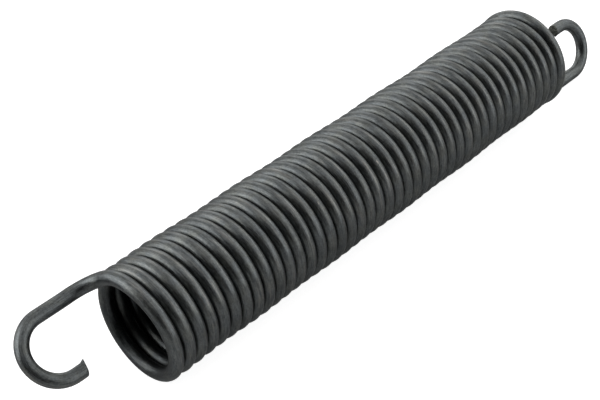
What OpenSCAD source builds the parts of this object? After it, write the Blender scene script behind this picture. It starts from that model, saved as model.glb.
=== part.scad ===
// Extension spring, one length of drawn wire: an open hook, a body of even
// turns wound all but touching, and a second open hook at the other end.
// It lies on its side along X, as it rests on a bench.

/* [Wire] */
// Diameter of the wire
wire_d = 3.3; // [3:0.05:3.38]

/* [Body] */
// Radius of the turns, from the spring's axis to the middle of the wire
coil_r = 12.185; // [11:0.005:14]
// Distance along the axis from one turn to the next
pitch = 3.4; // [3.4:0.02:4]
// Number of turns; the odd half turn puts the two legs on opposite sides
turns = 41.5; // [30.5:1:45.5]

/* [Front hook] */
// Bend from the first turn into the leg, radius at the middle of the wire
front_bend_r = 6.35; // [3:0.05:7]
// Straight leg between that bend and the hook
front_leg = 8.55; // [5:0.05:20]
// Radius of the hook, at the middle of the wire
front_hook_r = 7.25; // [6:0.05:8]
// Straight end of the wire past the hook
front_tail = 2.9; // [2:0.1:5]
// Twist of the hook out of the plane through its leg and the axis
front_twist = -12.2; // [-20:0.1:20]

/* [Rear hook] */
// Bend from the last turn into the leg, radius at the middle of the wire
rear_bend_r = 3.3; // [3:0.05:7]
// Straight leg between that bend and the hook
rear_leg = 17.3; // [5:0.05:20]
// Radius of the hook, at the middle of the wire
rear_hook_r = 6.8; // [6:0.05:8]
// Straight end of the wire past the hook
rear_tail = 2.9; // [2:0.1:5]
// Twist of the hook out of the plane through its leg and the axis
rear_twist = -7.3; // [-20:0.1:20]

/* [Cut ends] */
// Slope of each of the two faces that the wire cutter leaves
cut_angle = 14; // [0:1:25]

/* [Resting] */
// Turn of the spring about its own axis as it lies
lie_angle = 142.3; // [0:0.1:360]

/* [Hidden] */
$fn = 96;

// Each half turn is a flat half ring, tipped so that it climbs half a pitch,
// and each starts square on the end of the one before.
climb_angle = asin(pitch / (4 * coil_r));
half_turns = round(2 * turns);
body_length = turns * pitch;

// How far the hooks reach past the two ends of the body.
front_reach = front_bend_r + front_leg + front_hook_r + wire_d / 2;
rear_reach = rear_bend_r + rear_leg + rear_hook_r + wire_d / 2;
middle_z = (body_length + rear_reach - front_reach) / 2;

// The tipped rings are a hair narrower across their hinge line than along it.
ring_half_width = coil_r * cos(climb_angle);
function ring_reach(direction) =
    norm([ring_half_width * cos(direction), coil_r * sin(direction)]) + wire_d / 2;

// The front leg stands out past the turns on one side, so the middle moves.
front_leg_place = norm([ring_half_width, front_bend_r]);
front_leg_angle = lie_angle - atan2(front_bend_r, ring_half_width);
left_reach = max(ring_reach(90 - lie_angle), front_leg_place * sin(front_leg_angle) + wire_d / 2);
middle_y = (left_reach - ring_reach(90 - lie_angle)) / 2;
axis_height = ring_reach(lie_angle);

cut_size = 3 * wire_d;

// A bend starts at the origin, runs up along Z and turns towards X.
// What follows it on the wire is drawn at its far end.
module bend(radius, angle) {
    translate([radius, 0, 0])
        rotate([90, 0, 180])
            rotate_extrude(angle = angle)
                translate([radius, 0])
                    circle(d = wire_d);
    translate([radius, 0, 0])
        rotate([0, angle, 0])
            translate([-radius, 0, 0])
                children();
}

// A straight run up along Z, with what follows it at its far end.
module straight(length) {
    cylinder(d = wire_d, h = length);
    translate([0, 0, length])
        children();
}

// The last straight run, nipped off by a cutter that leaves two sloping faces.
module cut_end(length) {
    difference() {
        cylinder(d = wire_d, h = length + wire_d / 2);
        for (side = [0, 180])
            translate([0, 0, length])
                rotate([0, 0, side])
                    rotate([0, cut_angle, 0])
                        translate([-cut_size / 2, -cut_size / 2, 0])
                            cube(cut_size);
    }
}

// A hook is bent from the wire that leaves the body: first along the axis,
// then straight out, then half round, back towards the body.
module hook(bend_r, leg, hook_r, tail, twist) {
    towards_axis = -atan2(ring_half_width, bend_r);
    bend(bend_r, 90)
        straight(leg)
            rotate([0, 0, towards_axis + twist])
                bend(hook_r, 180)
                    cut_end(tail);
}

// The place of half turn number k, with the axis of the body along Z.
module at_half_turn(k) {
    translate([0, 0, (k + 0.5) * pitch / 2])
        rotate([0, 0, 180 * k])
            rotate([0, climb_angle, 0])
                children();
}

module wound_body() {
    for (k = [0 : half_turns - 1])
        at_half_turn(k)
            rotate_extrude(angle = 180)
                translate([coil_r, 0])
                    circle(d = wire_d);
}

module front_hook() {
    at_half_turn(0)
        translate([coil_r, 0, 0])
            rotate([0, -climb_angle, 0])
                rotate([90, 90, 0])
                    hook(front_bend_r, front_leg, front_hook_r, front_tail, front_twist);
}

module rear_hook() {
    at_half_turn(half_turns - 1)
        translate([-coil_r, 0, 0])
            rotate([0, -climb_angle, 0])
                rotate([90, -90, 0])
                    hook(rear_bend_r, rear_leg, rear_hook_r, rear_tail, rear_twist);
}

module spring() {
    color([0.16, 0.17, 0.17])
        translate([-middle_z, -middle_y, axis_height])
            rotate([0, 90, 0])
                rotate([0, 0, lie_angle]) {
                    wound_body();
                    front_hook();
                    rear_hook();
                }
}

spring();
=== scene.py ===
import math

import bmesh
import bpy
from mathutils import Matrix, Vector


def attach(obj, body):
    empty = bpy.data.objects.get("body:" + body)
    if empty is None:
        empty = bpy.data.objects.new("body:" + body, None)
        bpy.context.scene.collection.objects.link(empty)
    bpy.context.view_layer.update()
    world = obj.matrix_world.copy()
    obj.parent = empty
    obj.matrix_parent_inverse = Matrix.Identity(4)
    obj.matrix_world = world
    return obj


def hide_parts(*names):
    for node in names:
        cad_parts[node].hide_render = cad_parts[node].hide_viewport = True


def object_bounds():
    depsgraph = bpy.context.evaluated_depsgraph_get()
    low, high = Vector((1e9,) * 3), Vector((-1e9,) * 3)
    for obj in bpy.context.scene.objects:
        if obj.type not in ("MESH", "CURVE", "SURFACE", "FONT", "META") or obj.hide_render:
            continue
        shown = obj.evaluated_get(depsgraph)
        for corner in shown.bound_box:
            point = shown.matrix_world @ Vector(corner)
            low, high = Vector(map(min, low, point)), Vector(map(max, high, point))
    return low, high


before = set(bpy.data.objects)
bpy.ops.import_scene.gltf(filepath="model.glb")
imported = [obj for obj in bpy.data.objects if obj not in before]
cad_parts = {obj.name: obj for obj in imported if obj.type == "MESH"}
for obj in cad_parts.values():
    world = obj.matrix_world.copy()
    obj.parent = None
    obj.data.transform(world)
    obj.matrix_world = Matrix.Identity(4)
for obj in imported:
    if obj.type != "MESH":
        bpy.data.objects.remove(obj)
cad_low, cad_high = [Vector(corner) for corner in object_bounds()]


# The wound body. Round steel wire is wound cold on a mandrel into 41 and a half turns that
# all but touch. The body lies along X, and winds like a right-hand screw. One turn is wound
# and then repeated, because a turn further on is the same turn moved along by a pitch.
WIRE_R = 0.00165
WIRE_SIDES = 24
COIL_R = 0.012185
PITCH = 0.0034
FULL_TURNS = 41
STEPS_PER_TURN = 72
START_ANGLE = math.radians(52.3)
AXIS = Vector((1, 0, 0))
BODY_START = Vector((-0.07318, -0.00014, cad_high.z / 2))


class WireEnd:
    """The free end of a length of wire as it is drawn on: its rim, and where it points.

    Each vertex notes its wire_place: how far along the wire it lies, and then how far out
    from the coil and how far sideways across the wire, in wire radii.
    """

    def __init__(self, middle, winding, outward, way=1):
        self.bm = bmesh.new()
        self.place = self.bm.verts.layers.float_vector.new("wire_place")
        winding = winding.normalized()
        outward = (outward - outward.dot(winding) * winding).normalized()
        rim_turn = Matrix((outward, winding.cross(outward), winding)).transposed().to_4x4()
        rim = bmesh.ops.create_circle(self.bm, segments=WIRE_SIDES, radius=1.0)["verts"]
        for v in rim:
            v[self.place] = (0, v.co.x, v.co.y)
        bmesh.ops.transform(self.bm, verts=rim, matrix=rim_turn @ Matrix.Scale(WIRE_R, 4))
        bmesh.ops.translate(self.bm, verts=rim, vec=middle)
        self.middle = middle.copy()
        self.forward = winding * way
        self.way = way
        self.along = 0.0
        self.rim = self.bm.edges[:]

    def note_rings(self, first_new, length, rings):
        """Writes on each new ring of vertices how far along the wire it lies."""
        for number, v in enumerate(list(self.bm.verts)[first_new:]):
            ring = number // WIRE_SIDES + 1
            v[self.place].x = self.along + self.way * length * ring / rings
        self.along += self.way * length

    def carry_round(self, centre, axis, angle, steps, climb=0.0):
        """Carries the wire round an axis, and on along it where it climbs."""
        first_new = len(self.bm.verts)
        spun = bmesh.ops.spin(self.bm, geom=self.rim, cent=centre, axis=axis, angle=angle, steps=steps,
                              dvec=axis * (climb / steps), use_merge=False, use_duplicate=False)
        self.rim = [g for g in spun["geom_last"] if isinstance(g, bmesh.types.BMEdge)]
        self.note_rings(first_new, math.hypot((self.middle - centre).length * angle, climb), steps)
        turned = Matrix.Rotation(angle, 3, axis)
        self.middle = centre + turned @ (self.middle - centre) + axis * climb
        self.forward = turned @ self.forward

    def bend(self, towards, radius, angle, steps):
        """Bends the wire on towards a direction."""
        towards = (towards - towards.dot(self.forward) * self.forward).normalized()
        self.carry_round(self.middle + towards * radius, self.forward.cross(towards), angle, steps)

    def run_on(self, length, steps):
        """Carries the wire straight on."""
        for _ in range(steps):
            first_new = len(self.bm.verts)
            drawn = bmesh.ops.extrude_edge_only(self.bm, edges=self.rim)["geom"]
            self.rim = [g for g in drawn if isinstance(g, bmesh.types.BMEdge)]
            new_rim = [g for g in drawn if isinstance(g, bmesh.types.BMVert)]
            bmesh.ops.translate(self.bm, verts=new_rim, vec=self.forward * (length / steps))
            self.note_rings(first_new, length / steps, 1)
            self.middle = self.middle + self.forward * (length / steps)


def on_body(turns):
    """Where the wire's middle lies after a number of turns, the way it runs there and the way out."""
    out = Matrix.Rotation(START_ANGLE + 2 * math.pi * turns, 3, AXIS) @ Vector((0, 1, 0))
    winding = AXIS.cross(out) * COIL_R + AXIS * (PITCH / (2 * math.pi))
    return BODY_START + AXIS * (PITCH * turns) + out * COIL_R, winding, out


body = WireEnd(*on_body(0))
body.carry_round(BODY_START, AXIS, 2 * math.pi, STEPS_PER_TURN, climb=PITCH)
turn_length = body.along
one_turn = body.bm.verts[:] + body.bm.edges[:] + body.bm.faces[:]
for number in range(1, FULL_TURNS):
    copied = bmesh.ops.duplicate(body.bm, geom=one_turn)["geom"]
    copied_verts = [g for g in copied if isinstance(g, bmesh.types.BMVert)]
    bmesh.ops.translate(body.bm, verts=copied_verts, vec=AXIS * (PITCH * number))
    for v in copied_verts:
        v[body.place].x += turn_length * number


# The front hook. The first turn's wire is bent out along the body, runs on as a straight
# leg and goes half round into a hook with a short straight tail. A pair of cutting pliers
# nipped it off, which leaves two sloping flats that meet in a ridge, and a burr below it.
BEND_STEPS = 14
LEG_STEPS = 8
HOOK_STEPS = 36
TAIL_STEPS = 6
PAST_RIDGE = 1.2 * WIRE_R
BURR_LENGTH = 0.0006
BURR_FROM = 0.2
BURR_FORWARD = 1.4
BURR_OUTWARD = 0.75
RIM_ROUNDING = 0.00007
NIPPED = 1


def bend_hook(wire, away, crown_x, bend_r, hook_r, tail, lean, slopes, burr):
    """Bends the wire out along the body and round into a hook, and nips it off with two cuts."""
    wire.bend(away, bend_r, wire.forward.angle(away), BEND_STEPS)
    wire.run_on(abs(crown_x - away.x * (WIRE_R + hook_r) - wire.middle.x), LEG_STEPS)
    to_axis = BODY_START - wire.middle
    to_axis.x = 0
    inward = Matrix.Rotation(lean, 3, away) @ to_axis.normalized()
    wire.bend(inward, hook_r, math.pi, HOOK_STEPS)
    ridge_way = wire.forward.cross(inward)
    ridge = wire.middle + wire.forward * tail
    wire.run_on(tail + PAST_RIDGE, TAIL_STEPS)

    # The first cut only adds a ring, from which the burr starts. The other two nip the wire off.
    near_tip = [v for v in wire.bm.verts if (v.co - ridge).length < 2 * (tail + WIRE_R)]
    for back, slope in ((BURR_LENGTH, 0), (0, slopes[0]), (0, slopes[1])):
        nips = back == 0
        near_tip = [v for v in near_tip if v.is_valid]
        tip_geom = list(dict.fromkeys(g for v in near_tip for g in [v, *v.link_edges, *v.link_faces]))
        cut_way = Matrix.Rotation(slope, 3, ridge_way) @ wire.forward
        cut = bmesh.ops.bisect_plane(wire.bm, geom=tip_geom, plane_co=ridge - wire.forward * back,
                                     plane_no=cut_way, dist=1e-7, clear_outer=nips)["geom_cut"]
        near_tip += [g for g in cut if isinstance(g, bmesh.types.BMVert)]
        if nips:
            rim = [g for g in cut if isinstance(g, bmesh.types.BMEdge)]
            for flat in bmesh.ops.holes_fill(wire.bm, edges=rim, sides=0)["faces"]:
                flat.material_index = NIPPED

    for v in wire.bm.verts:
        if any(f.material_index == NIPPED for f in v.link_faces):
            drawn = max(0, (v.co - ridge).dot(-inward) / WIRE_R - BURR_FROM) ** 2
            v.co += (BURR_FORWARD * wire.forward - BURR_OUTWARD * inward) * (burr * drawn)
    flat_edges = [e for e in wire.bm.edges if any(f.material_index == NIPPED for f in e.link_faces)]
    bmesh.ops.bevel(wire.bm, geom=flat_edges, offset=RIM_ROUNDING, segments=2, profile=0.5,
                    affect="EDGES", material=-1)


front_hook = WireEnd(*on_body(0), way=-1)
bend_hook(front_hook, -AXIS, cad_low.x, bend_r=0.006645, hook_r=0.00725, tail=0.0023,
          lean=math.radians(-12.2), slopes=(math.radians(9), math.radians(2)), burr=0.0009)


# The rear hook. The last half turn ends in a tighter bend, a longer leg and a hook of its
# own, a little smaller than the front one. It is nipped off in the same way.
rear_hook = WireEnd(*on_body(FULL_TURNS))
rear_hook.along = turn_length * FULL_TURNS
last_centre = BODY_START + AXIS * (PITCH * FULL_TURNS)
rear_hook.carry_round(last_centre, AXIS, math.pi, STEPS_PER_TURN // 2, climb=PITCH / 2)
bend_hook(rear_hook, AXIS, cad_high.x, bend_r=0.00345, hook_r=0.0068, tail=0.0034,
          lean=math.radians(-7.3), slopes=(math.radians(14), math.radians(-14)), burr=0.0003)


# The whole spring. Body and hooks are one length of wire, so their meshes are welded into
# one. Cold winding never runs quite true: the turns sway a little and press together, the
# last one stands open, the front leg stands a little high and the rear leg a little low.
WELD_DISTANCE = 2e-6
BODY_TURNS = FULL_TURNS + 0.5
SWAY_WAY = Vector((0, 0.777, 0.629))
SWAY = 0.00012
SWAY_MEAN = 0.7
SWAY_START = 2.7
SWAY_TURNS = 7.3
SWAYING_TURNS = ((0, 2), (BODY_TURNS, BODY_TURNS - 0.4))
REAR_LIFT = 0.0002
LIFTED_TURNS = (30, 37)
PRESSED = 0.00004
PRESSED_TURNS = ((0, 0.15), (BODY_TURNS, BODY_TURNS - 0.15))
LAST_OPENING = Vector((0.0005, 0.0002, 0.0003))
OPEN_TURNS = ((40.45, 40.95), (BODY_TURNS, BODY_TURNS - 0.45))
FRONT_RISE = Vector((0, 0, 0.0005))
FRONT_LEG = (-0.030, -0.019)
FRONT_BEND = (-0.013, -0.005)
FRONT_RISE_END = (0.014, 0.002)
REAR_SAG = Vector((0, 0, -0.0006))
REAR_LEG = ((0.003, 0.012), (0.036, 0.022))


def ease(value, start, end):
    """Runs smoothly from 0 to 1 while the value goes from start to end."""
    share = min(1, max(0, (value - start) / (end - start)))
    return share * share * (3 - 2 * share)


def stretch(value, rise, fall):
    """Is 1 on a stretch of the wire, and runs smoothly to 0 past both of its ends."""
    return ease(value, *rise) * ease(value, *fall)


spring_mesh = bpy.data.meshes.new("spring_wire")
whole = bmesh.new()
for length in (body, front_hook, rear_hook):
    length.bm.to_mesh(spring_mesh)
    length.bm.free()
    whole.from_mesh(spring_mesh)
bmesh.ops.remove_doubles(whole, verts=whole.verts[:], dist=WELD_DISTANCE)
bmesh.ops.recalc_face_normals(whole, faces=whole.faces[:])
whole.normal_update()
whole_place = whole.verts.layers.float_vector["wire_place"]
for v in whole.verts:
    along = v[whole_place].x
    turns = along / turn_length
    past_body = along - turn_length * BODY_TURNS
    wave = SWAY_MEAN + math.sin(2 * math.pi * (turns - SWAY_START) / SWAY_TURNS)
    sway = SWAY * wave + REAR_LIFT * ease(turns, *LIFTED_TURNS)
    front_rise = (ease(along, *FRONT_LEG) + ease(along, *FRONT_BEND)) / 2
    v.co += v.normal * (PRESSED * stretch(turns, *PRESSED_TURNS))
    v.co += SWAY_WAY * (sway * stretch(turns, *SWAYING_TURNS))
    v.co += LAST_OPENING * stretch(turns, *OPEN_TURNS)
    v.co += FRONT_RISE * (front_rise * ease(along, *FRONT_RISE_END))
    v.co += REAR_SAG * stretch(past_body, *REAR_LEG)
for face in whole.faces:
    face.smooth = face.material_index != NIPPED
    face.material_index = 0
whole.to_mesh(spring_mesh)
whole.free()
spring = bpy.data.objects.new("spring_wire", spring_mesh)
bpy.context.scene.collection.objects.link(spring)


# The wire's finish. Tempering in oil leaves a thin blue-black oxide, a little brown in places.
# The drawing die leaves fine lines along the wire, the coiling tool rubs its outer side
# bright in broken streaks, and the nipped ends show rough dark steel.
# Painted shade also darkens the wire's colour inside the coil and on its sides between the turns.
BLUE_OXIDE = (0.082, 0.089, 0.091, 1)
BROWN_OXIDE = (0.089, 0.094, 0.090, 1)
RUBBED_STEEL = (0.21, 0.20, 0.185, 1)
TORN_STEEL_DARK = (0.032, 0.034, 0.032, 1)
TORN_STEEL_LIGHT = (0.098, 0.102, 0.088, 1)
RUBBED_SHARE = 0.55
# How far the painted shade inside the coil darkens the wire's colour, and over what length past the body's
# two ends it fades out.
INSIDE_SHADE_LEVEL = 0.5
COIL_EDGE_OUT = 0.004
COIL_EDGE_IN = 0.012


def node(tree, kind, **values):
    """A shader node with its settings and sockets filled in. A value that is a socket is linked."""
    made = tree.nodes.new("ShaderNode" + kind)
    for name, value in values.items():
        if hasattr(made, name) and not name[0].isupper():
            setattr(made, name, value)
            continue
        key = int(name[2:]) if name.startswith("in") and name[2:].isdigit() else name.replace("_", " ")
        if isinstance(value, bpy.types.NodeSocket):
            tree.links.new(value, made.inputs[key])
        else:
            made.inputs[key].default_value = value
    return made


finish = bpy.data.materials.new("oil_tempered_wire")
finish.use_nodes = True
tree = finish.node_tree
shader = tree.nodes["Principled BSDF"]
place = node(tree, "Attribute", attribute_name="wire_place").outputs["Vector"]
solid = node(tree, "TexCoord").outputs["Object"]


def spread(value, start, end, low=0.0, high=1.0):
    """Spreads the part of a pattern between two levels over a new range."""
    ranged = node(tree, "MapRange", Value=value, From_Min=start, From_Max=end, To_Min=low, To_Max=high)
    return ranged.outputs[0]


def cloud(space, scale, detail=3.0, roughness=0.6):
    """A cloudy pattern from 0 to 1."""
    return node(tree, "TexNoise", Vector=space, Scale=scale, Detail=detail, Roughness=roughness).outputs[0]


def streaks(fine_along, fine_across, detail=3.0, roughness=0.6):
    """A cloudy pattern laid along the wire: how fine it is per metre, and per wire radius."""
    laid = node(tree, "Mapping", Vector=place, Scale=(fine_along, fine_across, fine_across)).outputs[0]
    return cloud(laid, 1.0, detail, roughness)


def combined(operation, first, second):
    """Two patterns, or a pattern and a number, worked into one in the tree at hand."""
    return node(tree, "Math", operation=operation, in0=first, in1=second).outputs[0]


def mixed(share, first, second):
    """The first colour, with a share of the second."""
    return node(tree, "Mix", data_type="RGBA", in0=share, in6=first, in7=second).outputs[2]


def raised(pattern, strength, height, **under):
    """The surface with a pattern raised on it, over the one that is there."""
    return node(tree, "Bump", Strength=strength, Distance=height, Height=pattern, **under).outputs[0]


die_lines = streaks(60, 14)
hair_lines = streaks(160, 34, 2.0)
flecks = streaks(520, 9)
nicks = streaks(420, 2.6, 1.0)
long_rubs = streaks(130, 3.4, 4.0, 0.62)
scale_clouds = cloud(solid, 260, 5.0, 0.65)
grains = cloud(solid, 2300, 2.0)
tint_clouds = cloud(solid, 330)

across = node(tree, "SeparateXYZ", Vector=place)
outer_side = spread(across.outputs["Y"], 0.55, 0.98)
rubbed = combined("MULTIPLY", spread(long_rubs, 0.52, 0.72), outer_side)
nicked = combined("MULTIPLY", spread(nicks, 0.76, 0.8, 0.0, 1.6), outer_side)
rubbed = combined("MAXIMUM", rubbed, nicked)
section = node(tree, "Mapping", Vector=place, Scale=(0, 1, 1)).outputs[0]
from_middle = node(tree, "VectorMath", operation="LENGTH", in0=section).outputs["Value"]
nipped = spread(from_middle, 0.99, 0.93)

# Painted shade on the wound body only: the colour darkens from the wire's outer side towards the inside of
# the coil. It is darkest where the wire faces the axis and part dark on its sides between the turns.
body_length = turn_length * BODY_TURNS
past_front = spread(across.outputs["X"], -COIL_EDGE_OUT, COIL_EDGE_IN)
before_rear = spread(across.outputs["X"], body_length + COIL_EDGE_OUT, body_length - COIL_EDGE_IN)
on_coil = combined("MULTIPLY", past_front, before_rear)
painted_shade_inside = combined("MULTIPLY", spread(across.outputs["Y"], 0.6, -0.5), on_coil)

shade = spread(scale_clouds, 0.3, 0.7, 0.82, 1.18)
shade = combined("MULTIPLY", shade, spread(die_lines, 0.3, 0.7, 0.84, 1.16))
shade = combined("MULTIPLY", shade, spread(flecks, 0.32, 0.68, 0.66, 1.36))
shade = combined("MULTIPLY", shade, spread(grains, 0.3, 0.7, 0.76, 1.24))
# Painted shade inside the coil and between the turns.
shade = combined("MULTIPLY", shade, spread(painted_shade_inside, 0.0, 1.0, 1.0, INSIDE_SHADE_LEVEL))
oxide = mixed(spread(tint_clouds, 0.42, 0.62), BLUE_OXIDE, BROWN_OXIDE)
oxide = node(tree, "VectorMath", operation="SCALE", in0=oxide, Scale=shade).outputs[0]
worn = mixed(combined("MULTIPLY", rubbed, RUBBED_SHARE), oxide, RUBBED_STEEL)
torn = mixed(spread(grains, 0.4, 0.62), TORN_STEEL_DARK, TORN_STEEL_LIGHT)
tree.links.new(mixed(nipped, worn, torn), shader.inputs["Base Color"])

dull = combined("SUBTRACT", spread(flecks, 0.3, 0.7, 0.27, 0.43), combined("MULTIPLY", rubbed, 0.06))
dull = combined("ADD", dull, combined("MULTIPLY", nipped, 0.25))
tree.links.new(dull, shader.inputs["Roughness"])
shader.inputs["Metallic"].default_value = 0.92
shader.inputs["Specular Tint"].default_value = (0.6, 0.6, 0.6, 1)

surface = raised(die_lines, 0.5, 0.00006)
surface = raised(flecks, 0.4, 0.00004, Normal=surface)
surface = raised(hair_lines, 0.4, 0.00002, Normal=surface)
surface = raised(grains, 0.35, 0.00004, Normal=surface)
tree.links.new(surface, shader.inputs["Normal"])
spring_mesh.materials.append(finish)
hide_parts("spring")
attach(spring, "root")


# The floor. It is a wide sheet of pale matt paper that the spring lies on. The camera sees it
# white, shiny metal sees a little of that white, and the spring's shadow stays on it.
FLOOR_HALF = 10.0
PAPER = (0.5, 0.5, 0.5, 1)
WHITE = (1, 1, 1, 1)
BLACK = (0, 0, 0, 1)
FLOOR_GLOW = 0.85
GLOW_IN_METAL = 0.15

floor_mesh = bpy.data.meshes.new("floor")
bm = bmesh.new()
bmesh.ops.create_grid(bm, x_segments=1, y_segments=1, size=FLOOR_HALF)
bm.to_mesh(floor_mesh)
bm.free()
floor = bpy.data.objects.new("floor", floor_mesh)
bpy.context.scene.collection.objects.link(floor)
paper = bpy.data.materials.new("floor_paper")
paper.use_nodes = True
tree = paper.node_tree
sheet = tree.nodes["Principled BSDF"]
sheet.inputs["Base Color"].default_value = PAPER
sheet.inputs["Roughness"].default_value = 0.9
sheet.inputs["Specular IOR Level"].default_value = 0.0
rays = node(tree, "LightPath")
in_metal = combined("MULTIPLY", rays.outputs["Is Glossy Ray"], GLOW_IN_METAL)
seen = combined("MAXIMUM", rays.outputs["Is Camera Ray"], in_metal)
seen = combined("MAXIMUM", seen, rays.outputs["Is Transmission Ray"])
glow = node(tree, "Emission", Color=WHITE, Strength=FLOOR_GLOW)
dark = node(tree, "Emission", Color=BLACK, Strength=0.0)
extra = node(tree, "MixShader", Fac=seen, in1=dark.outputs[0], in2=glow.outputs[0])
total = node(tree, "AddShader", in0=sheet.outputs[0], in1=extra.outputs[0])
tree.links.new(total.outputs[0], tree.nodes["Material Output"].inputs["Surface"])
floor_mesh.materials.append(paper)


# The studio. It is a white room whose far wall and ceiling light the spring softly, with four
# wide lamps. The side behind the camera is left dark, as where only the table is lit.
DARK_SIDE = (-0.80, -0.55, 0.24)
DARK_FROM = 0.42
DARK_FULLY = 0.78
DARK_LEVEL = 0.02

world = bpy.data.worlds.new("studio")
bpy.context.scene.world = world
world.use_nodes = True
tree = world.node_tree
sky = tree.nodes["Background"]
looking = node(tree, "TexCoord").outputs["Generated"]
behind = node(tree, "VectorMath", operation="DOT_PRODUCT", in0=looking, in1=DARK_SIDE).outputs["Value"]
room = node(tree, "MapRange", interpolation_type="SMOOTHSTEP", Value=behind, From_Min=DARK_FROM,
            From_Max=DARK_FULLY, To_Min=1.0, To_Max=DARK_LEVEL)
tree.links.new(room.outputs["Result"], sky.inputs["Strength"])
sky.inputs["Color"].default_value = WHITE


def soft_lamp(name, at, size, watts):
    """A wide square lamp that points at the spring and stays out of the picture."""
    data = bpy.data.lights.new(name, "AREA")
    data.shape = "SQUARE"
    data.size = size
    data.energy = watts
    lamp = bpy.data.objects.new(name, data)
    lamp.location = at
    lamp.rotation_euler = (-Vector(at)).to_track_quat("-Z", "Y").to_euler()
    lamp.visible_camera = False
    bpy.context.scene.collection.objects.link(lamp)


soft_lamp("lamp_left", (-0.52, 0.48, 0.30), 0.75, 4.6)
soft_lamp("lamp_far_left", (0.56, 0.75, 0.22), 0.6, 2.0)
soft_lamp("lamp_right", (0.42, -0.62, 0.27), 0.6, 1.4)
soft_lamp("lamp_back", (0.68, 0.013, 0.424), 0.6, 1.4)


# The camera. It stands above the front hook's side and looks down along the spring, with a
# longish lens, as the photograph was taken.
CAMERA_PLACE = (-0.18688, -0.15481, 0.20651)
CAMERA_WAY = Vector((0.56147, 0.52470, -0.63988))
LENS = 76.15

camera_data = bpy.data.cameras.new("camera")
camera_data.lens = LENS
camera = bpy.data.objects.new("camera", camera_data)
camera.location = CAMERA_PLACE
camera.rotation_euler = CAMERA_WAY.to_track_quat("-Z", "Y").to_euler()
bpy.context.scene.collection.objects.link(camera)
bpy.context.scene.camera = camera
bpy.context.scene.view_settings.view_transform = "Standard"
